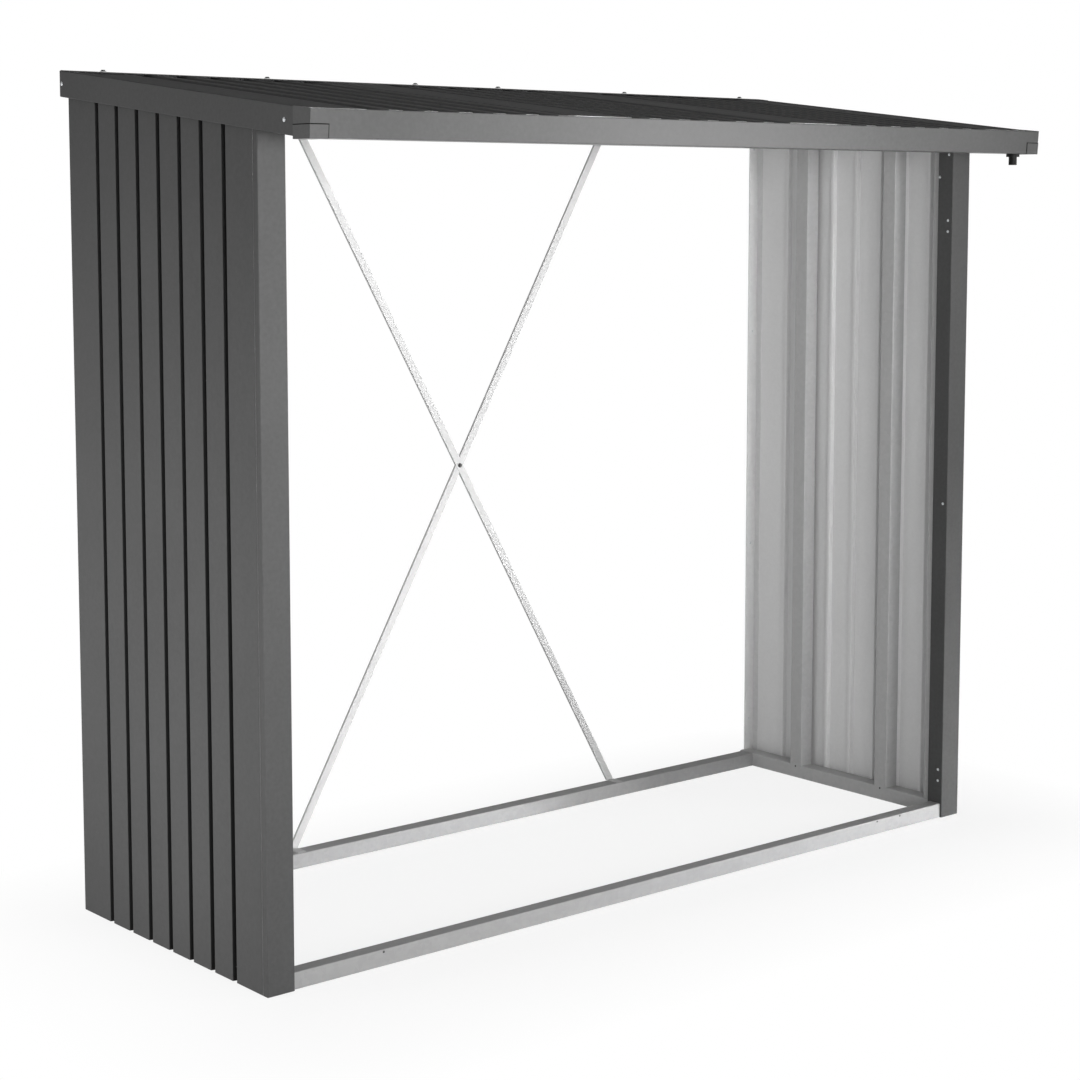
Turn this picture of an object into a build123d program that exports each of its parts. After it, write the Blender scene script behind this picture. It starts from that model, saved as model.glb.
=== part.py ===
from build123d import *
import math
import os

# Log store of folded sheet steel with an open front and back, in millimetres.
# X runs left to right along the front, Y from front to back and Z up.
# The origin is on the floor, under the middle of the whole store.

# Body and roof
body_width = 2260  # over the outer faces of the two side walls
body_depth = 792  # front of the corner posts to the rear edge of the walls
overall_height = 1982  # floor to the top of the roof's rear edge
roof_slope = 6.62  # degrees, falling to the front
side_overhang = 13.5  # wall face to verge trim face
rear_overhang = 13  # rear edge of the walls to the rear trim's face
eave_overhang = 152  # front of the corner posts to the back of the gutter

# Sheet thicknesses, fold radii and clearances
wall_sheet = 0.8
roof_sheet = 0.8
trim_sheet = 1
gutter_sheet = 1
post_sheet = 1.5
frame_sheet = 1.5
brace_sheet = 1.2
cap_sheet = 1.5
cap_plate = 0.8  # the plate behind a cap's thicker lower band
sheet_fold = 2  # outer radius of a fold in the painted sheets
frame_fold = 2.5  # outer radius of a fold in the posts and the frame
seam_gap = 0.3  # between the edges of two sheets that meet
trim_gap = 1  # between a trim's lower return and the wall behind it
overrun = 20  # how far a blank stands past the plane that trims it

# Side walls: flat pans between narrow grooves
groove_count = 7
groove_pitch = 88.6
groove_mouth = 16
groove_floor = 9
groove_depth = 11.2
wall_return = 25  # fold along the rear edge

# Frame of lipped channels
frame_depth = 44  # from the bay to the ridges inside the wall
frame_lip = 10
floor_rail_height = 38.5
front_rail_depth = 38
rail_set_back = 5  # behind the front of the corner posts
rear_frame_depth = 44
rear_set_back = 12  # rear edge of the walls to the rear face of the frame
stud_width = 44
stud_tab = 9  # foot of a stud's web, lapped over the floor rail
front_stud_groove = 6  # counted from the rear
rear_stud_groove = 2
top_rail_height = 40
beam_height = 40

# Front corner posts and the angles behind them
post_width = 69
post_return = 50
post_hem = 8
post_flange = 18  # turned back along the wall
angle_face = 26
angle_flange = 20

# Rear posts: angles in the rear folds of the walls
rear_post_face = 37
rear_post_flange = 20  # along the wall
rear_post_hem = 13  # doubled edge of the face

# Roof sheets: raised ribs, and a wide raised pan at both edges
rib_count = 5
rib_pitch = 91
rib_top = 36
rib_base = 48
rib_height = 14
sheet_lap = 112
sheet_rear_gap = 6  # behind the sheets, inside the rear trim
sheet_drip = 20  # how far the sheets reach over the gutter

# Trims round the roof
trim_height = 60
verge_flange = 30
rear_flange = 40

# Gutter, its end caps and its drain outlet
gutter_depth = 63
gutter_height = 59
gutter_rise = 10  # front lip above the roof's underside at the back of the gutter
gutter_lean = 5
gutter_lip = 9
gutter_flange = 30
cap_wrap = 43
cap_band_height = 27
outlet_inset = 62  # from the gutter's right-hand end
outlet_bore = 15
spigot_diameter = 21
spigot_length = 21
outlet_flange_diameter = 34
outlet_flange_height = 8

# Crossed brace at the back
brace_width = 20
brace_flange = 7
brace_reach = 541  # from the middle to the lower end of a strip
brace_draw = 6  # upper ends nearer the middle than the lower ones
brace_foot = 40  # over the rear rail and under the rear beam
brace_notch = 2  # room on each side of the strip that passes through

# Places worked out from the sizes above
slope = math.radians(roof_slope)
overall_depth = body_depth + rear_overhang + eave_overhang + gutter_depth
wall_x = body_width / 2
pan_x = wall_x - wall_sheet
ridge_x = pan_x - groove_depth
frame_x = ridge_x - frame_depth
post_x = wall_x - post_width
verge_x = wall_x + side_overhang
rear_y = overall_depth / 2
wall_rear_y = rear_y - rear_overhang
face_y = wall_rear_y - body_depth
frame_rear_y = wall_rear_y - rear_set_back
rear_rail_y = frame_rear_y - rear_frame_depth
fold_y = wall_rear_y - wall_sheet
side_rail_rear_y = fold_y - 2 * frame_sheet
front_rail_y = face_y + rail_set_back
gutter_back_y = face_y - eave_overhang
gutter_front_y = gutter_back_y - gutter_depth
datum_z = overall_height - trim_sheet / math.cos(slope)
pan_drop = trim_sheet + roof_sheet
deck_drop = pan_drop + rib_height
top_rail_drop = deck_drop + top_rail_height
groove_margin = (body_depth - (groove_count - 1) * groove_pitch) / 2

# The roof datum lies on the verge trims. Sloped pieces are drawn square to the slope,
# from the rear, and plumb planes trim their ends.
roof_datum = Plane(
    origin=(0, rear_y, datum_z),
    x_dir=(1, 0, 0),
    z_dir=(0, -math.sin(slope), math.cos(slope)),
)
roof_section = Plane(
    origin=(0, rear_y, datum_z),
    x_dir=(1, 0, 0),
    z_dir=(0, -math.cos(slope), -math.sin(slope)),
)


# Height of the undersides of the roof's valleys
def deck_z(y):
    return datum_z - (rear_y - y) * math.tan(slope) - deck_drop / math.cos(slope)


# Upright plane across the store, facing the front
def across(y):
    return Plane.XZ.offset(-y)


# Centre of a wall groove, counted from the rear
def groove_y(number):
    return wall_rear_y - groove_margin - (number - 1) * groove_pitch


# Section of a sheet folded along a line, with its thickness on the right of the line
def folded_section(plane, points, sheet, fold, side=Side.RIGHT):
    with BuildSketch(plane) as section:
        with BuildLine():
            FilletPolyline(*points, radius=fold)
            offset(amount=sheet, side=side)
        make_face()
    return section.sketch


# Section of a lipped channel, from the low open corner round the web to the high one
def channel_section(plane, open_low, web_low, web_high, open_high):
    low = Vector(*open_low)
    high = Vector(*open_high)
    lip = (high - low).normalized() * frame_lip
    points = [low + lip, low, Vector(*web_low), Vector(*web_high), high, high - lip]
    return folded_section(plane, points, frame_sheet, frame_fold)


# The four points of a groove pressed into a line that runs along the first axis
def groove_points(centre, mouth, floor, high, low):
    return [
        (centre - mouth / 2, high),
        (centre - floor / 2, low),
        (centre + floor / 2, low),
        (centre + mouth / 2, high),
    ]


# Left-hand copy of a right-hand piece
def left_hand(piece):
    with BuildPart() as copy:
        mirror(piece.part, about=Plane.YZ)
    return copy


# Floor rails
def cross_rail(half_length, web_y, open_y):
    with BuildPart() as rail:
        section = channel_section(
            Plane.YZ.offset(-half_length),
            (open_y, 0),
            (web_y, 0),
            (web_y, floor_rail_height),
            (open_y, floor_rail_height),
        )
        extrude(section, amount=2 * half_length)
    return rail


front_floor_rail = cross_rail(post_x, front_rail_y, front_rail_y + front_rail_depth)
rear_floor_rail = cross_rail(frame_x, rear_rail_y, frame_rear_y)

with BuildPart() as right_floor_rail:
    section = channel_section(
        across(side_rail_rear_y),
        (ridge_x, 0),
        (frame_x, 0),
        (frame_x, floor_rail_height),
        (ridge_x, floor_rail_height),
    )
    extrude(section, amount=side_rail_rear_y - face_y - post_sheet)

# Front corner post: a side flange flush with the wall, the face and an inner return
with BuildPart() as right_front_post:
    section = folded_section(
        Plane.XY,
        [
            (wall_x, face_y + post_flange),
            (wall_x, face_y),
            (post_x, face_y),
            (post_x, face_y + post_return),
            (post_x + post_hem, face_y + post_return),
        ],
        post_sheet,
        frame_fold,
    )
    extrude(section, amount=overall_height)
    split(bisect_by=roof_datum.offset(-deck_drop), keep=Keep.BOTTOM)

# Galvanised angle that closes the corner behind the post
angle_y = face_y + post_return + angle_face
with BuildPart() as right_front_angle:
    section = folded_section(
        Plane.XY.offset(floor_rail_height),
        [
            (frame_x, angle_y - angle_face),
            (frame_x, angle_y),
            (pan_x - frame_sheet, angle_y),
            (pan_x - frame_sheet, angle_y + angle_flange),
        ],
        frame_sheet,
        frame_fold,
    )
    extrude(section, amount=overall_height)
    split(bisect_by=roof_datum.offset(-top_rail_drop), keep=Keep.BOTTOM)

# Rear post: an angle in the rear fold of the wall, with a hemmed edge
with BuildPart() as right_rear_post:
    section = folded_section(
        Plane.XY,
        [
            (pan_x, fold_y - rear_post_flange),
            (pan_x, fold_y),
            (pan_x - rear_post_face, fold_y),
        ],
        frame_sheet,
        frame_fold,
        Side.LEFT,
    )
    extrude(section, amount=overall_height)
    with BuildSketch(Plane.XY):
        with Locations((pan_x - rear_post_face, fold_y - frame_sheet)):
            Rectangle(rear_post_hem, frame_sheet, align=(Align.MIN, Align.MAX))
    extrude(amount=overall_height)
    split(bisect_by=roof_datum.offset(-deck_drop), keep=Keep.BOTTOM)


# Stud on the floor rail, with the foot of its web lapped over the rail's face
def stud(front_y, back_y):
    web_x = frame_x - frame_sheet
    with BuildPart() as member:
        section = channel_section(
            Plane.XY.offset(floor_rail_height),
            (ridge_x, front_y),
            (web_x, front_y),
            (web_x, back_y),
            (ridge_x, back_y),
        )
        extrude(section, amount=overall_height)
        split(bisect_by=roof_datum.offset(-top_rail_drop), keep=Keep.BOTTOM)
        with BuildSketch(Plane.XY.offset(floor_rail_height)):
            with Locations((web_x, (front_y + back_y) / 2)):
                Rectangle(
                    frame_sheet, back_y - front_y - 2 * frame_fold, align=(Align.MIN, Align.CENTER)
                )
        extrude(amount=-stud_tab)
    return member


rear_stud_y = groove_y(rear_stud_groove) + groove_mouth / 2
right_rear_stud = stud(rear_stud_y - stud_width, rear_stud_y)

front_stud_y = groove_y(front_stud_groove) - groove_mouth / 2
right_front_stud = stud(front_stud_y, front_stud_y + stud_width)

# Side wall: one sheet with pressed grooves, folded in along its rear edge
with BuildPart() as right_wall_sheet:
    wall_points = [(wall_x, face_y + post_flange + seam_gap)]
    for number in range(groove_count, 0, -1):
        groove = groove_points(
            groove_y(number), groove_mouth, groove_floor, wall_x, wall_x - groove_depth
        )
        wall_points += [(x, y) for y, x in groove]
    wall_points += [(wall_x, wall_rear_y), (wall_x - wall_return, wall_rear_y)]
    section = folded_section(Plane.XY, wall_points, wall_sheet, sheet_fold, Side.LEFT)
    extrude(section, amount=overall_height)
    split(bisect_by=roof_datum.offset(-pan_drop), keep=Keep.BOTTOM)

# Top rail along the wall, under the slope of the roof
with BuildPart() as right_top_rail:
    section = channel_section(
        roof_section,
        (ridge_x, -top_rail_drop),
        (frame_x, -top_rail_drop),
        (frame_x, -deck_drop),
        (ridge_x, -deck_drop),
    )
    extrude(section, amount=overall_depth / math.cos(slope))
    split(bisect_by=across(side_rail_rear_y), keep=Keep.TOP)
    split(bisect_by=across(face_y + post_sheet), keep=Keep.BOTTOM)


# Beams across the front and the back, with a top flange that follows the roof
def roof_beam(half_length, web_y, open_y):
    bottom_z = deck_z(web_y) - beam_height
    with BuildPart() as beam:
        section = channel_section(
            Plane.YZ.offset(-half_length),
            (open_y, bottom_z),
            (web_y, bottom_z),
            (web_y, deck_z(web_y)),
            (open_y, deck_z(open_y)),
        )
        extrude(section, amount=2 * half_length)
    return beam


front_beam = roof_beam(post_x, front_rail_y, front_rail_y + front_rail_depth)
rear_beam = roof_beam(frame_x, rear_rail_y, frame_rear_y)

# Roof sheets: the middle one laps over its neighbours
sheet_edge_x = verge_x - sheet_fold - seam_gap
sheet_width = 2 * (sheet_edge_x + sheet_lap) / 3
sheet_length = (rear_y - gutter_back_y + sheet_drip) / math.cos(slope) - sheet_rear_gap


def roof_sheet_at(centre_x, lap):
    rib_z = -trim_sheet
    edge_z = rib_z + lap
    points = []
    for number in range(rib_count + 1):
        valley_x = centre_x + (number - rib_count / 2) * rib_pitch
        points += groove_points(
            valley_x, rib_pitch - rib_top, rib_pitch - rib_base, rib_z, rib_z - rib_height
        )
    points[0] = (points[0][0], edge_z)
    points[-1] = (points[-1][0], edge_z)
    points.insert(0, (centre_x - sheet_width / 2, edge_z))
    points.append((centre_x + sheet_width / 2, edge_z))
    with BuildPart() as sheet:
        section = folded_section(roof_section.offset(sheet_rear_gap), points, roof_sheet, sheet_fold)
        extrude(section, amount=sheet_length)
    return sheet


roof_sheet_right = roof_sheet_at(sheet_edge_x - sheet_width / 2, 0)
roof_sheet_middle = roof_sheet_at(0, roof_sheet)

# Verge trim down the side of the roof and rear trim between the two verges
with BuildPart() as right_verge_trim:
    verge_foot = -trim_height * math.cos(slope)
    section = folded_section(
        roof_section.offset(-overrun),
        [
            (verge_x - verge_flange, 0),
            (verge_x, 0),
            (verge_x, verge_foot),
            (verge_x - side_overhang + trim_gap, verge_foot),
        ],
        trim_sheet,
        sheet_fold,
    )
    extrude(section, amount=overall_depth / math.cos(slope) + 2 * overrun)
    split(bisect_by=across(rear_y), keep=Keep.TOP)
    split(bisect_by=across(gutter_back_y), keep=Keep.BOTTOM)
    # both flanges stop short of the rear trim
    with BuildSketch(Plane.XY.offset(overall_height + overrun)):
        with Locations((verge_x - sheet_fold, rear_y)):
            Rectangle(verge_flange, sheet_fold, align=(Align.MAX, Align.MAX))
    extrude(amount=-trim_height - 2 * overrun, mode=Mode.SUBTRACT)

with BuildPart() as rear_trim:
    rear_half = verge_x - sheet_fold - seam_gap
    rear_foot_z = overall_height - trim_height
    section = folded_section(
        Plane.YZ.offset(-rear_half),
        [
            (
                rear_y - rear_flange * math.cos(slope),
                overall_height - rear_flange * math.sin(slope),
            ),
            (rear_y, overall_height),
            (rear_y, rear_foot_z),
            (rear_y - rear_overhang + trim_gap, rear_foot_z),
        ],
        trim_sheet,
        sheet_fold,
    )
    extrude(section, amount=2 * rear_half)

# Gutter: an open trough with a flange that is held under the roof sheets
gutter_top_z = deck_z(gutter_back_y) + gutter_rise
gutter_bottom_z = gutter_top_z - gutter_height
gutter_hook_z = deck_z(gutter_back_y) - gutter_sheet / math.cos(slope)
gutter_toe_y = gutter_front_y + gutter_lean
outlet_x = verge_x - outlet_inset
outlet_y = (gutter_toe_y + gutter_back_y) / 2

with BuildPart() as gutter:
    section = folded_section(
        Plane.YZ.offset(-verge_x),
        [
            (gutter_front_y + gutter_lip, gutter_top_z),
            (gutter_front_y, gutter_top_z),
            (gutter_toe_y, gutter_bottom_z),
            (gutter_back_y, gutter_bottom_z),
            (gutter_back_y, gutter_hook_z),
            (
                gutter_back_y + gutter_flange * math.cos(slope),
                gutter_hook_z + gutter_flange * math.sin(slope),
            ),
        ],
        gutter_sheet,
        sheet_fold,
        Side.LEFT,
    )
    extrude(section, amount=2 * verge_x)
    # the flange stops inside the verge trims
    with BuildSketch(Plane.XY.offset(gutter_bottom_z)):
        with Locations((wall_x, gutter_back_y), (-wall_x, gutter_back_y)):
            Rectangle(2 * side_overhang, 2 * gutter_flange, align=(Align.CENTER, Align.MIN))
    extrude(amount=gutter_height, mode=Mode.SUBTRACT)
    # drain hole
    with BuildSketch(Plane.XY.offset(gutter_bottom_z)):
        with Locations((outlet_x, outlet_y)):
            Circle(outlet_bore / 2)
    extrude(amount=gutter_sheet, mode=Mode.SUBTRACT)

# End cap: a plate from the gutter's floor up to the verge trim's top, with a thicker band
# round its lower half
with BuildPart() as right_gutter_cap:
    cap_top_z = datum_z - (rear_y - gutter_back_y) * math.tan(slope)
    band_z = gutter_bottom_z + cap_band_height
    band_y = gutter_toe_y - gutter_lean * cap_band_height / gutter_height
    with BuildSketch(Plane.YZ.offset(verge_x + cap_plate)):
        with BuildLine():
            Polyline(
                (gutter_front_y, gutter_top_z),
                (gutter_toe_y, gutter_bottom_z),
                (gutter_back_y, gutter_bottom_z),
                (gutter_back_y, cap_top_z),
                close=True,
            )
        make_face()
    extrude(amount=-cap_plate)
    cap_plane = Plane.YZ.offset(verge_x + cap_sheet)
    with BuildSketch(cap_plane):
        with BuildLine():
            Polyline(
                (band_y, band_z),
                (gutter_toe_y, gutter_bottom_z),
                (gutter_back_y, gutter_bottom_z),
                (gutter_back_y, band_z),
                close=True,
            )
        make_face()
    extrude(amount=-cap_sheet)
    with BuildSketch(cap_plane):
        with BuildLine():
            Polyline(
                (band_y, band_z),
                (gutter_toe_y, gutter_bottom_z),
                (gutter_back_y, gutter_bottom_z),
                (gutter_back_y, gutter_bottom_z - gutter_sheet),
                (gutter_toe_y - gutter_sheet, gutter_bottom_z - gutter_sheet),
                (band_y - gutter_sheet, band_z),
                close=True,
            )
        make_face()
    extrude(amount=-cap_sheet - cap_wrap)

# Drain outlet: a flange under the gutter and a hose spigot
with BuildPart() as gutter_outlet:
    with BuildSketch(Plane.XY.offset(gutter_bottom_z)):
        with Locations((outlet_x, outlet_y)):
            Circle(outlet_flange_diameter / 2)
    extrude(amount=-outlet_flange_height)
    with BuildSketch(Plane.XY.offset(gutter_bottom_z - outlet_flange_height)):
        with Locations((outlet_x, outlet_y)):
            Circle(spigot_diameter / 2)
    extrude(amount=-spigot_length)
    with Locations((outlet_x, outlet_y, gutter_bottom_z)):
        Hole(outlet_bore / 2)

# Crossed brace: two shallow channels, footed on the rear rail and under the rear beam
brace_low_z = floor_rail_height
brace_high_z = deck_z(rear_rail_y) - beam_height
brace_high_reach = brace_reach - brace_draw
brace_angle = math.atan((brace_reach + brace_high_reach) / (brace_high_z - brace_low_z))
front_strip_y = frame_rear_y
rear_strip_y = front_strip_y + brace_sheet


# Outline of a strip from one lower end to the opposite upper end
def strip_outline(y, width, lean):
    cut = width / math.cos(brace_angle) / 2
    with BuildSketch(across(y)) as outline:
        with BuildLine():
            Polyline(
                (-lean * brace_reach - cut, brace_low_z),
                (-lean * brace_reach + cut, brace_low_z),
                (lean * brace_high_reach + cut, brace_high_z),
                (lean * brace_high_reach - cut, brace_high_z),
                close=True,
            )
        make_face()
    return outline.sketch


def brace_strip(web_y, lean):
    foot_width = brace_width / math.cos(brace_angle)
    foot_length = brace_foot + brace_sheet
    with BuildPart() as strip:
        section = strip_outline(web_y, brace_width, lean)
        extrude(section, amount=-brace_flange)
        section = strip_outline(web_y + brace_sheet, brace_width - 2 * brace_sheet, lean)
        extrude(section, amount=-brace_flange, mode=Mode.SUBTRACT)
        for end_x, end_z, sheet in (
            (-lean * brace_reach, brace_low_z, brace_sheet),
            (lean * brace_high_reach, brace_high_z, -brace_sheet),
        ):
            with BuildSketch(Plane.XY.offset(end_z)):
                with Locations((end_x, web_y + brace_sheet)):
                    Rectangle(foot_width, foot_length, align=(Align.CENTER, Align.MAX))
            extrude(amount=sheet)
        if web_y < rear_strip_y:
            section = strip_outline(rear_strip_y, brace_width + 2 * brace_notch, -lean)
            extrude(section, amount=-brace_flange, mode=Mode.SUBTRACT)
    return strip


front_brace_strip = brace_strip(front_strip_y, -1)
rear_brace_strip = brace_strip(rear_strip_y, 1)

pieces = {
    "front_floor_rail": front_floor_rail,
    "rear_floor_rail": rear_floor_rail,
    "front_beam": front_beam,
    "rear_beam": rear_beam,
    "roof_sheet_middle": roof_sheet_middle,
    "roof_sheet_right": roof_sheet_right,
    "roof_sheet_left": left_hand(roof_sheet_right),
    "rear_trim": rear_trim,
    "gutter": gutter,
    "gutter_outlet": gutter_outlet,
    "front_brace_strip": front_brace_strip,
    "rear_brace_strip": rear_brace_strip,
}
for name, right_hand in {
    "floor_rail": right_floor_rail,
    "front_post": right_front_post,
    "front_angle": right_front_angle,
    "rear_post": right_rear_post,
    "front_stud": right_front_stud,
    "rear_stud": right_rear_stud,
    "wall_sheet": right_wall_sheet,
    "top_rail": right_top_rail,
    "verge_trim": right_verge_trim,
    "gutter_cap": right_gutter_cap,
}.items():
    pieces["right_" + name] = right_hand
    pieces["left_" + name] = left_hand(right_hand)

os.makedirs("parts", exist_ok=True)
for name, piece in pieces.items():
    piece.part.label = name
    export_step(piece.part, "parts/" + name + ".step")
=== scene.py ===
import bpy
import math
from mathutils import Matrix, Vector


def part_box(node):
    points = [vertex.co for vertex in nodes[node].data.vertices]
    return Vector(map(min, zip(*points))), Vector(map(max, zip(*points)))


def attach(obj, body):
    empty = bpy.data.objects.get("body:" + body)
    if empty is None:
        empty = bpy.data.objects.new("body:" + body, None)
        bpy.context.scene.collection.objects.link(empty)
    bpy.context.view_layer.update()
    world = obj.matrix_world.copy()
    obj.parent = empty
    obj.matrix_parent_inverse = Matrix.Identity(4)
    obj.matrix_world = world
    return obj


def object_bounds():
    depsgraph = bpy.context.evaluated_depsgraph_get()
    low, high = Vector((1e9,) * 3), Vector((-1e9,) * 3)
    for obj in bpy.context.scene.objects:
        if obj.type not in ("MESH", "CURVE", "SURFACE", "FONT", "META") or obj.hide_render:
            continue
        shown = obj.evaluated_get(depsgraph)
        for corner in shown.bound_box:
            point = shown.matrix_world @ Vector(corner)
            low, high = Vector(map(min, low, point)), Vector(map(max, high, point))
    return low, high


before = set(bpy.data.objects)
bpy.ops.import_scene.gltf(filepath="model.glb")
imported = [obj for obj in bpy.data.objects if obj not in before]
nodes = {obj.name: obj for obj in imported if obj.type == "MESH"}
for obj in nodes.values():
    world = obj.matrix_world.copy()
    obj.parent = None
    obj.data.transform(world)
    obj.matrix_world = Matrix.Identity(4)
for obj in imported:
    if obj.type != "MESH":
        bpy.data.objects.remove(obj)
cadLow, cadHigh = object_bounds()
print("frame loaded with", len(nodes), "pieces")


# sRGB hex to the linear colour that Blender's sockets take
def hexColour(text):
    parts = [int(text[i:i + 2], 16) / 255 for i in (1, 3, 5)]
    return (*[p / 12.92 if p <= 0.04045 else ((p + 0.055) / 1.055) ** 2.4 for p in parts], 1)


# pattern scale for features of this many millimetres, since Object coordinates are in metres
def perMetre(millimetres):
    return 1000 / millimetres


# one node with its settings and links; a whole number names an input by its place
def addNode(tree, kind, settings={}, links={}):
    node = tree.nodes.new(kind)
    for name, value in settings.items():
        if isinstance(name, int) or name in node.inputs:
            node.inputs[name].default_value = value
        else:
            setattr(node, name, value)
    for socket, source in links.items():
        tree.links.new(source, node.inputs[socket])
    return node


# an empty node tree with the piece's own coordinates and a lit surface to fill in
def startMaterial(name, shine):
    material = bpy.data.materials.new(name)
    material.use_nodes = True
    tree = material.node_tree
    tree.nodes.clear()
    place = addNode(tree, "ShaderNodeTexCoord").outputs["Object"]
    surface = addNode(tree, "ShaderNodeBsdfPrincipled", {"Specular IOR Level": shine})
    addNode(tree, "ShaderNodeOutputMaterial", {}, {"Surface": surface.outputs["BSDF"]})
    return material, tree, place, surface


# Coil-coated steel: a polyester coat over zinc. The coat is faintly mottled, its skin is a
# shallow orange peel, and thin sheet is never quite flat, so highlights waver a little. The
# sheets, posts and trims are matt, and the gutter and its caps have a satin skin.
coat = {
    "dark": "#4d4d4d",
    "light": "#545454",
    "mottleSize": 9,
    "mottleDetail": 3.0,
    "cloudSize": 420,
    "cloudDetail": 2.0,
    "mottleRange": (0.7, 1.3),
    "mattRoughness": (0.5, 0.6),
    "satinRoughness": (0.28, 0.34),
    "peelSize": 2.2,
    "peelDepth": 0.00003,
    "waveSize": 260,
    "waveDepth": 0.00012,
    "mattShine": 0.04,
    "satinShine": 0.12,
}
backCoat = {"dark": "#e6e6e6", "light": "#ebebeb", "rearFold": 0.02}
# painted shade: the grooves of the walls are darkened as if in shadow, so they are darker than the pans
# between them;
# the face and the floor of a groove are metres from the middle of the store
grooveShade = {"colour": "#202020", "face": 1.1299, "floor": 1.1285, "rearEnd": 0.45}


def coatColour(tree, place, look):
    cloud = addNode(
        tree, "ShaderNodeTexNoise",
        {"Scale": perMetre(coat["cloudSize"]), "Detail": coat["cloudDetail"]}, {"Vector": place},
    )
    mottle = addNode(
        tree, "ShaderNodeTexNoise",
        {"Scale": perMetre(coat["mottleSize"]), "Detail": coat["mottleDetail"]}, {"Vector": place},
    )
    both = addNode(
        tree, "ShaderNodeMath", {"operation": "ADD"},
        {0: cloud.outputs["Fac"], 1: mottle.outputs["Fac"]},
    )
    low, high = coat["mottleRange"]
    spread = addNode(
        tree, "ShaderNodeMapRange", {"From Min": low, "From Max": high}, {"Value": both.outputs[0]}
    )
    colour = addNode(
        tree, "ShaderNodeMix",
        {"data_type": "RGBA", 6: hexColour(look["dark"]), 7: hexColour(look["light"])},
        {0: spread.outputs["Result"]},
    )
    return colour.outputs[2], spread.outputs["Result"]


def coatSkin(tree, place, surface, rough, feel):
    low, high = coat[feel + "Roughness"]
    dull = addNode(tree, "ShaderNodeMapRange", {"To Min": low, "To Max": high}, {"Value": rough})
    wave = addNode(
        tree, "ShaderNodeTexNoise", {"Scale": perMetre(coat["waveSize"])}, {"Vector": place}
    )
    peel = addNode(
        tree, "ShaderNodeTexNoise", {"Scale": perMetre(coat["peelSize"])}, {"Vector": place}
    )
    waved = addNode(
        tree, "ShaderNodeBump", {"Distance": coat["waveDepth"]}, {"Height": wave.outputs["Fac"]}
    )
    peeled = addNode(
        tree, "ShaderNodeBump", {"Distance": coat["peelDepth"]},
        {"Height": peel.outputs["Fac"], "Normal": waved.outputs["Normal"]},
    )
    tree.links.new(dull.outputs["Result"], surface.inputs["Roughness"])
    tree.links.new(peeled.outputs["Normal"], surface.inputs["Normal"])


def coatedSteel(name, feel):
    material, tree, place, surface = startMaterial(name, coat[feel + "Shine"])
    colour, rough = coatColour(tree, place, coat)
    tree.links.new(colour, surface.inputs["Base Color"])
    coatSkin(tree, place, surface, rough, feel)
    return material


# The same sheet with its pale backing coat on one side. The side comes from the way a face
# points: for a wall away from the middle of the store, for the roof up.
def twoSidedSteel(name, facing):
    material, tree, place, surface = startMaterial(name, coat["mattShine"])
    pointing = addNode(tree, "ShaderNodeNewGeometry").outputs["Normal"]
    normal = addNode(tree, "ShaderNodeSeparateXYZ", {}, {0: pointing})
    front, rough = coatColour(tree, place, coat)
    back, _ = coatColour(tree, place, backCoat)
    if facing == "up":
        outward = normal.outputs["Z"]
    else:
        spot = addNode(tree, "ShaderNodeSeparateXYZ", {}, {0: place})
        side = addNode(tree, "ShaderNodeMath", {"operation": "SIGN"}, {0: spot.outputs["X"]})
        sideways = addNode(
            tree, "ShaderNodeMath", {"operation": "MULTIPLY"},
            {0: normal.outputs["X"], 1: side.outputs[0]},
        )
        # the fold along the rear edge shows its outer side to the back
        outward = addNode(
            tree, "ShaderNodeMath", {"operation": "MULTIPLY_ADD", 1: backCoat["rearFold"]},
            {0: normal.outputs["Y"], 2: sideways.outputs[0]},
        ).outputs[0]
        # painted shade in the grooves: the outer face darkens with the groove's depth, ahead of the rear
        # fold
        away = addNode(tree, "ShaderNodeMath", {"operation": "ABSOLUTE"}, {0: spot.outputs["X"]})
        depth = addNode(
            tree, "ShaderNodeMapRange",
            {"From Min": grooveShade["face"], "From Max": grooveShade["floor"]},
            {"Value": away.outputs[0]},
        )
        grooved = addNode(
            tree, "ShaderNodeMath", {"operation": "LESS_THAN", 1: grooveShade["rearEnd"]},
            {0: spot.outputs["Y"]},
        )
        grooveShadeShare = addNode(
            tree, "ShaderNodeMath", {"operation": "MULTIPLY"},
            {0: depth.outputs["Result"], 1: grooved.outputs[0]},
        )
        front = addNode(
            tree, "ShaderNodeMix", {"data_type": "RGBA", 7: hexColour(grooveShade["colour"])},
            {0: grooveShadeShare.outputs[0], 6: front},
        ).outputs[2]
    isBack = addNode(
        tree, "ShaderNodeMath", {"operation": "LESS_THAN", 1: 0.0}, {0: outward}
    ).outputs[0]
    colour = addNode(tree, "ShaderNodeMix", {"data_type": "RGBA"}, {0: isBack, 6: front, 7: back})
    tree.links.new(colour.outputs[2], surface.inputs["Base Color"])
    coatSkin(tree, place, surface, rough, "matt")
    return material


# Hot-dip galvanised steel: dull zinc with a frosty spangle of crystals, each at its own tone.
# The rails across the store keep a little shine, and the members along the walls have gone chalky
# like the strips of the brace. Each part has its own copy of the zinc, its tone set for how bright
# the part comes out under the lamps: the rails are a darker copy, painted shade, and the rear posts
# a paler copy, painted light for the shade they stand in.
zinc = {"spangleSize": 11, "grainSize": 1.6, "roughness": (0.46, 0.5), "frostDepth": 0.00001}
# darker copy of the zinc for the rails: painted shade
shadedRailZinc = {"dark": "#969696", "light": "#9b9b9b", "metal": 0.2, "shine": 0.3}
wallZinc = {"dark": "#b1b1b1", "light": "#b6b6b6", "metal": 0.0, "shine": 0.1}
# paler copy of the zinc for the rear posts: painted light
litPostZinc = {"dark": "#d4d4d4", "light": "#d9d9d9", "metal": 0.0, "shine": 0.1}
stripZinc = {"dark": "#bababa", "light": "#bebebe", "metal": 0.0, "shine": 0.1}


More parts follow.
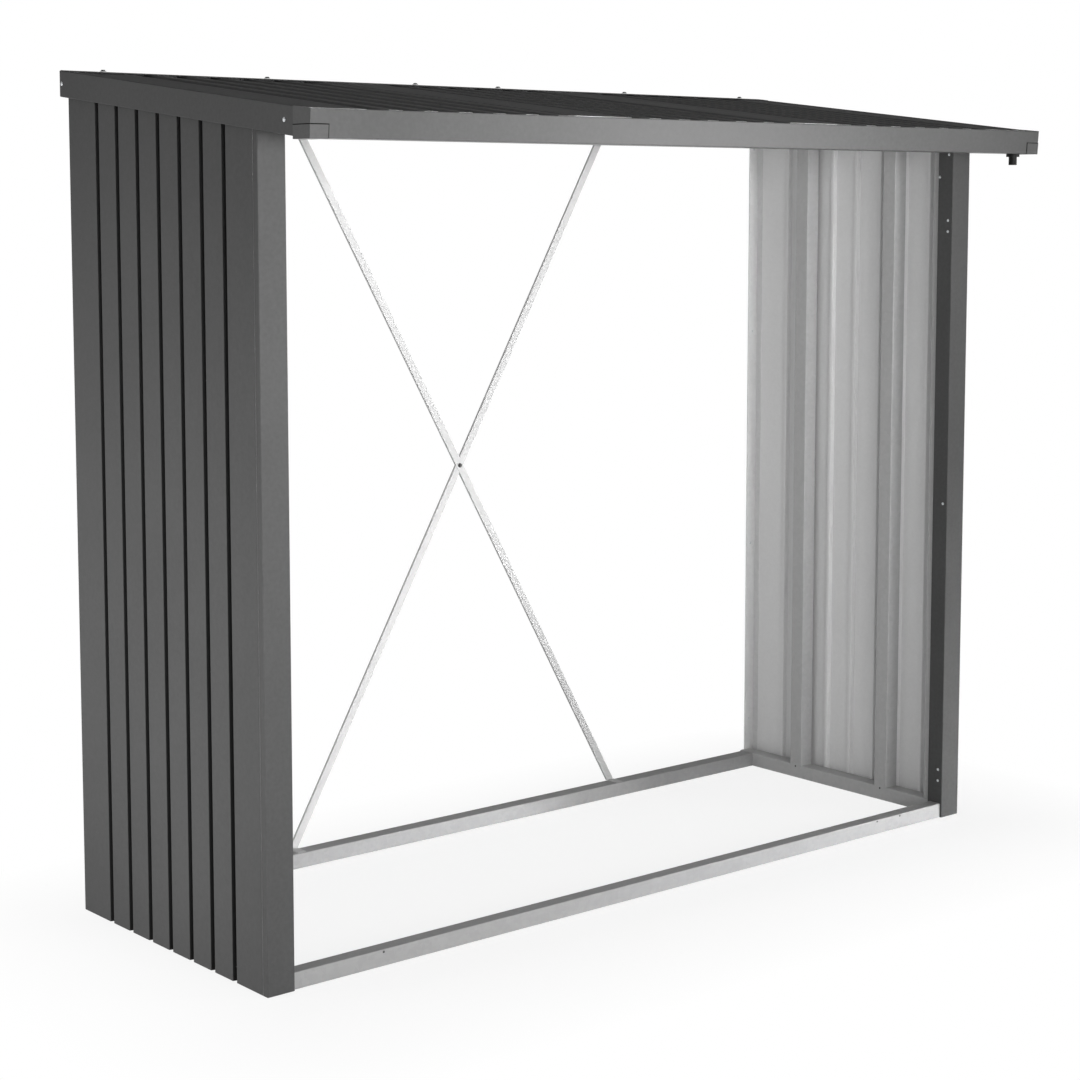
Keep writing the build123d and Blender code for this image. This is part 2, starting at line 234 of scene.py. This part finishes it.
def galvanisedSteel(name, look):
    material, tree, place, surface = startMaterial(name, look["shine"])
    surface.inputs["Metallic"].default_value = look["metal"]
    crystals = addNode(
        tree, "ShaderNodeTexVoronoi", {"Scale": perMetre(zinc["spangleSize"])}, {"Vector": place}
    )
    tone = addNode(tree, "ShaderNodeSeparateColor", {}, {0: crystals.outputs["Color"]})
    grain = addNode(
        tree, "ShaderNodeTexNoise", {"Scale": perMetre(zinc["grainSize"])}, {"Vector": place}
    )
    colour = addNode(
        tree, "ShaderNodeMix",
        {"data_type": "RGBA", 6: hexColour(look["dark"]), 7: hexColour(look["light"])},
        {0: tone.outputs[0]},
    )
    low, high = zinc["roughness"]
    dull = addNode(
        tree, "ShaderNodeMapRange", {"To Min": low, "To Max": high}, {"Value": tone.outputs[1]}
    )
    frost = addNode(
        tree, "ShaderNodeBump", {"Distance": zinc["frostDepth"]}, {"Height": grain.outputs["Fac"]}
    )
    tree.links.new(colour.outputs[2], surface.inputs["Base Color"])
    tree.links.new(dull.outputs["Result"], surface.inputs["Roughness"])
    tree.links.new(frost.outputs["Normal"], surface.inputs["Normal"])
    return material


# Moulded polypropylene: near black, with a fine matt grain from the mould. The black strips round
# the cap bands, painted shade standing in for the shadow at the band's edge, are as dark and have hardly
# any shine.
plastic = {
    "dark": "#070707", "light": "#0e0e0e", "shine": 0.2, "roughness": (0.45, 0.6),
    "grainSize": 0.9, "grainDepth": 0.00005,
}
shadeStripLook = {
    "dark": "#0a0a0a", "light": "#101010", "shine": 0.05, "roughness": (0.45, 0.6),
    "grainSize": 0.5, "grainDepth": 0.00002,
}


def mouldedPlastic(name, look):
    material, tree, place, surface = startMaterial(name, look["shine"])
    grain = addNode(
        tree, "ShaderNodeTexNoise", {"Scale": perMetre(look["grainSize"])}, {"Vector": place}
    )
    colour = addNode(
        tree, "ShaderNodeMix",
        {"data_type": "RGBA", 6: hexColour(look["dark"]), 7: hexColour(look["light"])},
        {0: grain.outputs["Fac"]},
    )
    low, high = look["roughness"]
    dull = addNode(
        tree, "ShaderNodeMapRange", {"To Min": low, "To Max": high}, {"Value": grain.outputs["Fac"]}
    )
    skin = addNode(
        tree, "ShaderNodeBump", {"Distance": look["grainDepth"]}, {"Height": grain.outputs["Fac"]}
    )
    tree.links.new(colour.outputs[2], surface.inputs["Base Color"])
    tree.links.new(dull.outputs["Result"], surface.inputs["Roughness"])
    tree.links.new(skin.outputs["Normal"], surface.inputs["Normal"])
    return material


# Zinc-plated steel screws: bright, with the fine turning marks of the blank
plating = {
    "dark": "#b9bcbf", "light": "#dfe1e2", "metal": 1.0, "shine": 0.5,
    "markSize": 0.6, "roughness": (0.22, 0.36),
}


def zincPlate():
    material, tree, place, surface = startMaterial("zincPlatedSteel", plating["shine"])
    surface.inputs["Metallic"].default_value = plating["metal"]
    marks = addNode(
        tree, "ShaderNodeTexNoise", {"Scale": perMetre(plating["markSize"])}, {"Vector": place}
    )
    colour = addNode(
        tree, "ShaderNodeMix",
        {"data_type": "RGBA", 6: hexColour(plating["dark"]), 7: hexColour(plating["light"])},
        {0: marks.outputs["Fac"]},
    )
    low, high = plating["roughness"]
    dull = addNode(
        tree, "ShaderNodeMapRange", {"To Min": low, "To Max": high}, {"Value": marks.outputs["Fac"]}
    )
    tree.links.new(colour.outputs[2], surface.inputs["Base Color"])
    tree.links.new(dull.outputs["Result"], surface.inputs["Roughness"])
    return material


satinCoat = coatedSteel("satinCoatedSteel", "satin")
mattCoat = coatedSteel("mattCoatedSteel", "matt")
wallCoat = twoSidedSteel("wallCoatedSteel", "out")
roofCoat = twoSidedSteel("roofCoatedSteel", "up")
railCoat = galvanisedSteel("railGalvanisedSteel", shadedRailZinc)
frameCoat = galvanisedSteel("wallGalvanisedSteel", wallZinc)
litPostCoat = galvanisedSteel("litPostGalvanisedSteel", litPostZinc)
stripCoat = galvanisedSteel("braceGalvanisedSteel", stripZinc)
blackPlastic = mouldedPlastic("blackPolypropylene", plastic)
# black of the strips round the cap bands: painted shade
shadeStripBlack = mouldedPlastic("shadeStripBlack", shadeStripLook)
brightZinc = zincPlate()

for name, piece in nodes.items():
    if "wall_sheet" in name:
        finish = wallCoat
    elif "roof_sheet" in name:
        finish = roofCoat
    elif "outlet" in name:
        finish = blackPlastic
    elif "gutter" in name:
        finish = satinCoat
    elif "front_post" in name or "trim" in name:
        finish = mattCoat
    elif "brace" in name:
        finish = stripCoat
    # the rear posts get the paler copy of the zinc, painted light
    elif "rear_post" in name:
        finish = litPostCoat
    elif "left_" in name or "right_" in name:
        finish = frameCoat
    else:
        finish = railCoat
    for slot in piece.material_slots:
        slot.link = "OBJECT"
        slot.material = finish
print("finishes set")

topFaces = 0.9  # a face is on top where its normal rises more than this


def isTop(face):
    return face.normal.z > topFaces


# select the faces of the active piece that pass a test, in edit mode
def pickFaces(piece, wanted):
    bpy.ops.object.mode_set(mode="EDIT")
    bpy.ops.mesh.select_mode(type="FACE")
    bpy.ops.mesh.select_all(action="DESELECT")
    bpy.ops.object.mode_set(mode="OBJECT")
    for face in piece.data.polygons:
        face.select = wanted(face)
    bpy.ops.object.mode_set(mode="EDIT")


# Pan-head screw standing on the floor at the origin: a washer rim, a domed head and its socket.
# Heights are shares of the head's height, and insets are shares of its width.
panShape = {
    "wall": 0.6, "shoulderInset": 0.12, "shoulder": 0.3, "crownInset": 0.15, "crown": 0.1,
    "socketInset": 0.06, "socket": 0.5,
}


def panScrew(size):
    width, height = size["head"], size["height"]
    bpy.ops.object.select_all(action="DESELECT")
    bpy.ops.mesh.primitive_cylinder_add(
        vertices=size["sides"], radius=size["rim"] / 2, depth=size["rimHeight"],
        location=(0, 0, size["rimHeight"] / 2),
    )
    head = bpy.context.object
    bpy.ops.object.transform_apply(location=True, rotation=True, scale=True)
    pickFaces(head, isTop)
    bpy.ops.mesh.inset(thickness=(size["rim"] - width) / 2)
    bpy.ops.mesh.extrude_region_move(TRANSFORM_OT_translate={"value": (0, 0, height * panShape["wall"])})
    bpy.ops.mesh.inset(thickness=width * panShape["shoulderInset"])
    bpy.ops.transform.translate(value=(0, 0, height * panShape["shoulder"]))
    bpy.ops.mesh.inset(thickness=width * panShape["crownInset"])
    bpy.ops.transform.translate(value=(0, 0, height * panShape["crown"]))
    bpy.ops.mesh.inset(thickness=width * panShape["socketInset"])
    bpy.ops.mesh.extrude_region_move(TRANSFORM_OT_translate={"value": (0, 0, -height * panShape["socket"])})
    bpy.ops.object.mode_set(mode="OBJECT")
    return head


# Hexagon head on a round washer, standing on the floor at the origin. Heights are shares of
# the washer's or the head's own, and insets are shares of their width.
hexShape = {
    "washerSides": 24, "washerInset": 0.08, "washerDome": 0.3, "headInset": 0.1, "headDome": 0.14,
}


def hexScrew(size):
    bpy.ops.object.select_all(action="DESELECT")
    bpy.ops.mesh.primitive_cylinder_add(
        vertices=hexShape["washerSides"], radius=size["washer"] / 2, depth=size["washerHeight"],
        location=(0, 0, size["washerHeight"] / 2),
    )
    washer = bpy.context.object
    bpy.ops.object.transform_apply(location=True, rotation=True, scale=True)
    pickFaces(washer, isTop)
    bpy.ops.mesh.inset(thickness=size["washer"] * hexShape["washerInset"])
    bpy.ops.transform.translate(value=(0, 0, size["washerHeight"] * hexShape["washerDome"]))
    bpy.ops.object.mode_set(mode="OBJECT")
    bpy.ops.object.select_all(action="DESELECT")
    bpy.ops.mesh.primitive_cylinder_add(
        vertices=6, radius=size["head"] / 2, depth=size["height"],
        location=(0, 0, size["washerHeight"] + size["height"] / 2),
    )
    head = bpy.context.object
    bpy.ops.object.transform_apply(location=True, rotation=True, scale=True)
    pickFaces(head, isTop)
    bpy.ops.mesh.inset(thickness=size["head"] * hexShape["headInset"])
    bpy.ops.transform.translate(value=(0, 0, size["height"] * hexShape["headDome"]))
    bpy.ops.object.mode_set(mode="OBJECT")
    washer.select_set(True)
    bpy.ops.object.join()
    return head


smoothAngle = 40  # degrees between faces, past which an edge of a head stays sharp


# copies of a head at the given places, each turned along its outward direction, joined as one piece
def setScrews(name, head, places, finish):
    copies = []
    for place, direction in places:
        turn = Vector((0, 0, 1)).rotation_difference(Vector(direction)).to_matrix().to_4x4()
        mesh = head.data.copy()
        mesh.transform(Matrix.Translation(place) @ turn)
        copy = bpy.data.objects.new(name, mesh)
        bpy.context.scene.collection.objects.link(copy)
        copies.append(copy)
    bpy.data.objects.remove(head)
    bpy.ops.object.select_all(action="DESELECT")
    for copy in copies:
        copy.select_set(True)
    bpy.context.view_layer.objects.active = copies[0]
    if len(copies) > 1:
        bpy.ops.object.join()
    piece = bpy.context.view_layer.objects.active
    piece.name = name
    piece.data.materials.clear()
    piece.data.materials.append(finish)
    bpy.ops.object.shade_smooth_by_angle(angle=math.radians(smoothAngle))
    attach(piece, "root")
    print(name, "set:", len(copies))


leftRight = (-1, 1)
smallScrew = {"sides": 20, "rim": 0.0074, "rimHeight": 0.0006, "head": 0.0058, "height": 0.0020}
grooveScrew = {"sides": 20, "rim": 0.0088, "rimHeight": 0.0008, "head": 0.0068, "height": 0.0040}
railRivet = {"sides": 16, "rim": 0.0055, "rimHeight": 0.0004, "head": 0.0042, "height": 0.0010}
sheetScrew = {"washer": 0.0150, "washerHeight": 0.0008, "head": 0.0092, "height": 0.0024}
trimScrew = {"sides": 20, "rim": 0.0095, "rimHeight": 0.0003, "head": 0.0078, "height": 0.0011}
crossBolt = {"washer": 0.0120, "washerHeight": 0.0010, "head": 0.0090, "height": 0.0036}

# front posts: through the return behind the dark face, one line and a single one further back
postScrews = {
    "back": 0.014,
    "heights": (0.101, 0.132, 0.867, 1.6015, 1.631, 1.806),
    "single": (0.0444, 1.7465),
}
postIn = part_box("right_front_post")[0]
spots = [(postScrews["back"], z) for z in postScrews["heights"]] + [postScrews["single"]]
places = [
    (Vector((side * postIn.x, postIn.y + back, z)), (-side, 0, 0))
    for side in leftRight for back, z in spots
]
setScrews("post_screws", panScrew(smallScrew), places, brightZinc)

# rear posts: through the face beside its hem into the wall's fold
rearScrews = {"inset": 0.0198, "sheet": 0.0015, "heights": (0.130, 0.665, 1.299, 1.834)}
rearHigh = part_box("right_rear_post")[1]
rearAcross = rearHigh.x - rearScrews["inset"]
rearFace = rearHigh.y - rearScrews["sheet"]
places = [
    (Vector((side * rearAcross, rearFace, z)), (0, -1, 0))
    for side in leftRight for z in rearScrews["heights"]
]
setScrews("rear_post_screws", panScrew(smallScrew), places, brightZinc)

# walls: in the grooves, into the studs and into the floor rail
wallScrews = {
    "grooveFloor": 1.1188,
    "firstGroove": 0.3668,
    "pitch": 0.0886,
    "studs": ((2, 0.667), (2, 1.300), (6, 0.667), (6, 1.300)),
    "rail": ((5, 0.030), (7, 0.032), (1, 0.030), (3, 0.030)),
}
places = []
for side in leftRight:
    for groove, z in wallScrews["studs"] + wallScrews["rail"]:
        y = wallScrews["firstGroove"] - (groove - 1) * wallScrews["pitch"]
        places.append((Vector((side * wallScrews["grooveFloor"], y, z)), (side, 0, 0)))
setScrews("wall_screws", panScrew(grooveScrew), places, brightZinc)

# verge trims: one near each end
vergeScrews = {"places": ((0.5005, 1.950), (-0.4146, 1.8435))}
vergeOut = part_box("right_verge_trim")[1].x
places = [
    (Vector((side * vergeOut, y, z)), (side, 0, 0))
    for side in leftRight for y, z in vergeScrews["places"]
]
setScrews("verge_screws", panScrew(trimScrew), places, brightZinc)

# roof: coated hexagon screws through the rear trim into the beam
roofScrews = {"y": 0.490, "across": (0.137, 0.590, 1.042)}
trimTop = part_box("rear_trim")[1].z
places = [
    (Vector((side * x, roofScrews["y"], trimTop)), (0, 0, 1))
    for side in leftRight for x in roofScrews["across"]
]
setScrews("roof_screws", hexScrew(sheetScrew), places, mattCoat)

# floor rails: three rivets in the front one's face, and one in the foot of each stud, all in the dark coat;
# at the stud feet the dark rivets are painted shade, dark dots standing in for the shade in the notches
# there
railRivets = {
    "front": ((-0.823, 0.0327), (0.804, 0.0342), (0.895, 0.0340)),
    "studs": ("front_stud", "rear_stud"),
    "z": 0.0338,
}
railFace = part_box("front_floor_rail")[0].y
places = [(Vector((x, railFace, z)), (0, -1, 0)) for x, z in railRivets["front"]]
for stud in railRivets["studs"]:
    studLow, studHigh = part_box("right_" + stud)
    middle = (studLow.y + studHigh.y) / 2
    places += [
        (Vector((side * studLow.x, middle, railRivets["z"])), (-side, 0, 0)) for side in leftRight
    ]
# dark coat on the rivets at the stud feet: painted shade
setScrews("rail_rivets", panScrew(railRivet), places, mattCoat)

# brace: one bolt through the crossing, its head to the front and its nut behind
braceBolt = {"x": 0.0, "z": 0.983, "webs": 0.0024}
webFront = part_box("rear_floor_rail")[1].y
places = [
    (Vector((braceBolt["x"], webFront, braceBolt["z"])), (0, -1, 0)),
    (Vector((braceBolt["x"], webFront + braceBolt["webs"], braceBolt["z"])), (0, 1, 0)),
]
setScrews("brace_bolt", hexScrew(crossBolt), places, mattCoat)

# Black strips round the band on each gutter cap: painted shade, a dark line standing in for the shadow in
# the gap at the band's edge
shadeStrip = {
    "thick": 0.0020,
    "ease": 0.12,
    "proud": 0.0007,
    "band": 0.027,
    "wrap": 0.043,
    "plate": 0.0008,
    "lean": 0.005,
    "sheet": 0.001,
}


# bar between two corners, its upper end moved forward by a lean, with its edges eased
def shadeStripBar(low, high, lean):
    bpy.ops.object.select_all(action="DESELECT")
    bpy.ops.mesh.primitive_cube_add(size=1, location=(low + high) / 2, scale=high - low)
    bar = bpy.context.object
    bpy.ops.object.transform_apply(location=True, rotation=True, scale=True)
    pickFaces(bar, isTop)
    bpy.ops.transform.translate(value=(0, -lean, 0))
    bpy.ops.mesh.select_all(action="SELECT")
    bpy.ops.mesh.bevel(offset=shadeStrip["thick"] * shadeStrip["ease"], segments=1)
    bpy.ops.object.mode_set(mode="OBJECT")
    return bar


gutterLow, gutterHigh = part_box("gutter")
bandTop = gutterLow.z + shadeStrip["band"]
toe = gutterLow.y + shadeStrip["lean"]
bandFront = toe - shadeStrip["lean"] * shadeStrip["band"] / (gutterHigh.z - gutterLow.z)
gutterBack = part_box("right_gutter_cap")[1].y
bars = []
for side in leftRight:
    end = side * gutterHigh.x
    outer = end + side * (shadeStrip["plate"] + shadeStrip["proud"])
    inner = end - side * shadeStrip["wrap"]
    front = bandFront - shadeStrip["sheet"]
    top = bandTop + shadeStrip["thick"]
    corners = (
        ((end, front, bandTop), (outer, gutterBack, top), 0),
        ((inner, front, bandTop), (outer, bandFront + shadeStrip["thick"], top), 0),
        (
            (inner - side * shadeStrip["thick"], toe - shadeStrip["sheet"], gutterLow.z),
            (inner, toe + shadeStrip["thick"], top),
            toe - bandFront,
        ),
    )
    for one, other, lean in corners:
        low = Vector([min(pair) for pair in zip(one, other)])
        high = Vector([max(pair) for pair in zip(one, other)])
        bars.append(shadeStripBar(low, high, lean))
bpy.ops.object.select_all(action="DESELECT")
for bar in bars:
    bar.select_set(True)
bpy.context.view_layer.objects.active = bars[0]
bpy.ops.object.join()
shadeStrips = bpy.context.view_layer.objects.active
# painted shade: the black strips stand in for the shadow line round each cap band
shadeStrips.name = "cap_shade_strips"
shadeStrips.data.materials.append(shadeStripBlack)
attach(shadeStrips, "root")
print("cap seals set")

# Camera at the photographed angle
cameraView = {
    "place": (-3.6666, -4.2102, 1.6790),
    "yaw": 40.042,
    "pitch": 5.821,
    "lens": 75.06,
    "sensor": 36.0,
    "shiftY": -0.10,
}
bpy.ops.object.camera_add(
    location=cameraView["place"],
    rotation=(math.radians(90 - cameraView["pitch"]), 0, math.radians(-cameraView["yaw"])),
)
camera = bpy.context.object
camera.data.lens = cameraView["lens"]
camera.data.sensor_width = cameraView["sensor"]
camera.data.shift_y = cameraView["shiftY"]
camera.data.dof.use_dof = False
bpy.context.scene.camera = camera

# Pale studio floor: it keeps the store's soft shadow close by and is white further out
floorLook = {
    "size": 60.0,
    "drop": 0.0005,
    "colour": "#f4f4f4",
    "shine": 0.1,
    "roughness": 0.8,
    "footprint": (1.13, 0.40, 0.0),
    "whiteNear": 0.84,
    "whiteFrom": 0.5,
}
bpy.ops.object.select_all(action="DESELECT")
bpy.ops.mesh.primitive_plane_add(size=floorLook["size"], location=(0, 0, cadLow.z - floorLook["drop"]))
floor = bpy.context.object
floor.name = "studio_floor"
floorFinish, tree, place, surface = startMaterial("studioFloor", floorLook["shine"])
surface.inputs["Base Color"].default_value = hexColour(floorLook["colour"])
surface.inputs["Roughness"].default_value = floorLook["roughness"]
fromMiddle = addNode(tree, "ShaderNodeVectorMath", {"operation": "ABSOLUTE"}, {0: place})
pastStore = addNode(
    tree, "ShaderNodeVectorMath", {"operation": "SUBTRACT", 1: floorLook["footprint"]},
    {0: fromMiddle.outputs[0]},
)
outside = addNode(
    tree, "ShaderNodeVectorMath", {"operation": "MAXIMUM", 1: (0, 0, 0)}, {0: pastStore.outputs[0]}
)
distance = addNode(tree, "ShaderNodeVectorMath", {"operation": "LENGTH"}, {0: outside.outputs[0]})
white = addNode(
    tree, "ShaderNodeMapRange",
    {"From Max": floorLook["whiteFrom"], "To Min": floorLook["whiteNear"], "To Max": 1.0},
    {"Value": distance.outputs["Value"]},
)
seen = addNode(tree, "ShaderNodeLightPath").outputs
shiny = addNode(
    tree, "ShaderNodeMath", {"operation": "MAXIMUM"},
    {0: seen["Is Glossy Ray"], 1: seen["Is Transmission Ray"]},
)
either = addNode(
    tree, "ShaderNodeMath", {"operation": "MAXIMUM"}, {0: seen["Is Camera Ray"], 1: shiny.outputs[0]}
)
share = addNode(
    tree, "ShaderNodeMath", {"operation": "MULTIPLY"},
    {0: white.outputs["Result"], 1: either.outputs[0]},
)
glow = addNode(tree, "ShaderNodeEmission", {"Color": (1, 1, 1, 1), "Strength": 1.0})
blend = addNode(
    tree, "ShaderNodeMixShader", {},
    {0: share.outputs[0], 1: surface.outputs["BSDF"], 2: glow.outputs["Emission"]},
)
tree.links.new(blend.outputs["Shader"], tree.nodes["Material Output"].inputs["Surface"])
floor.data.materials.append(floorFinish)

# Lamps: two soft ones in front, kept off the floor; a key from the front right and a low one
# under it; one behind the store; a fill beside the left wall
lamps = {
    "left": {
        "place": (-2.6, -5.0, 1.6), "aim": (-0.6, 0, 1.55),
        "size": (2.0, 1.4), "power": 12, "spread": 52,
    },
    "middle": {
        "place": (-0.4, -5.4, 1.6), "aim": (-0.5, 0, 1.6),
        "size": (2.0, 1.4), "power": 25, "spread": 52,
    },
    "key": {
        "place": (3.8, -4.5, 1.2), "aim": (0.4, -0.3, 0.9),
        "size": (1, 1), "power": 105, "spread": 180,
    },
    "low": {
        "place": (4.4, -3.4, 0.4), "aim": (1, -0.3, 0.03),
        "size": (0.8, 0.4), "power": 4.5, "spread": 24,
    },
    "rear": {
        "place": (-1.4, 3.5, 1.2), "aim": (1.1, 0.1, 1),
        "size": (1.6, 1.6), "power": 5, "spread": 180,
    },
    "fill": {
        "place": (-2.3, 0.15, 0.7), "aim": (-1.1, 0.1, 0.7),
        "size": (1.6, 0.9), "power": 16, "spread": 180,
    },
}
for name, lamp in lamps.items():
    turn = (Vector(lamp["aim"]) - Vector(lamp["place"])).to_track_quat("-Z", "Y").to_euler()
    bpy.ops.object.light_add(type="AREA", location=lamp["place"], rotation=turn)
    light = bpy.context.object
    light.name = name
    light.data.shape = "RECTANGLE"
    light.data.size, light.data.size_y = lamp["size"]
    light.data.energy = lamp["power"]
    light.data.spread = math.radians(lamp["spread"])
    light.visible_camera = False

# Surroundings: white to the camera, a white backdrop under a dim ceiling in a shine, and a soft
# light that is stronger from the sides than from above
studio = {
    "backdrop": 1.0, "ceiling": 0.05, "backdropTop": 0.15, "ceilingFrom": 0.35,
    "sideLight": 0.5, "topLight": 0.28, "sideTop": 0.1, "topFrom": 0.5,
}
world = bpy.data.worlds.new("studio")
world.use_nodes = True
bpy.context.scene.world = world
tree = world.node_tree
tree.nodes.clear()
direction = addNode(tree, "ShaderNodeTexCoord").outputs["Generated"]
height = addNode(tree, "ShaderNodeSeparateXYZ", {}, {0: direction}).outputs["Z"]
seen = addNode(tree, "ShaderNodeLightPath").outputs
shiny = addNode(
    tree, "ShaderNodeMath", {"operation": "MAXIMUM"},
    {0: seen["Is Glossy Ray"], 1: seen["Is Transmission Ray"]},
)
softLight = addNode(
    tree, "ShaderNodeMapRange",
    {"From Min": studio["sideTop"], "From Max": studio["topFrom"],
     "To Min": studio["sideLight"], "To Max": studio["topLight"]},
    {"Value": height},
)
shine = addNode(
    tree, "ShaderNodeMapRange",
    {"From Min": studio["backdropTop"], "From Max": studio["ceilingFrom"],
     "To Min": studio["backdrop"], "To Max": studio["ceiling"]},
    {"Value": height},
)
unseen = addNode(
    tree, "ShaderNodeMix", {"data_type": "FLOAT"},
    {0: shiny.outputs[0], 2: softLight.outputs["Result"], 3: shine.outputs["Result"]},
)
level = addNode(
    tree, "ShaderNodeMix", {"data_type": "FLOAT", 3: studio["backdrop"]},
    {0: seen["Is Camera Ray"], 2: unseen.outputs[0]},
)
backdrop = addNode(
    tree, "ShaderNodeBackground", {"Color": (1, 1, 1, 1)}, {"Strength": level.outputs[0]}
)
addNode(tree, "ShaderNodeOutputWorld", {}, {"Surface": backdrop.outputs["Background"]})
bpy.context.scene.view_settings.view_transform = "Standard"
print("studio set")
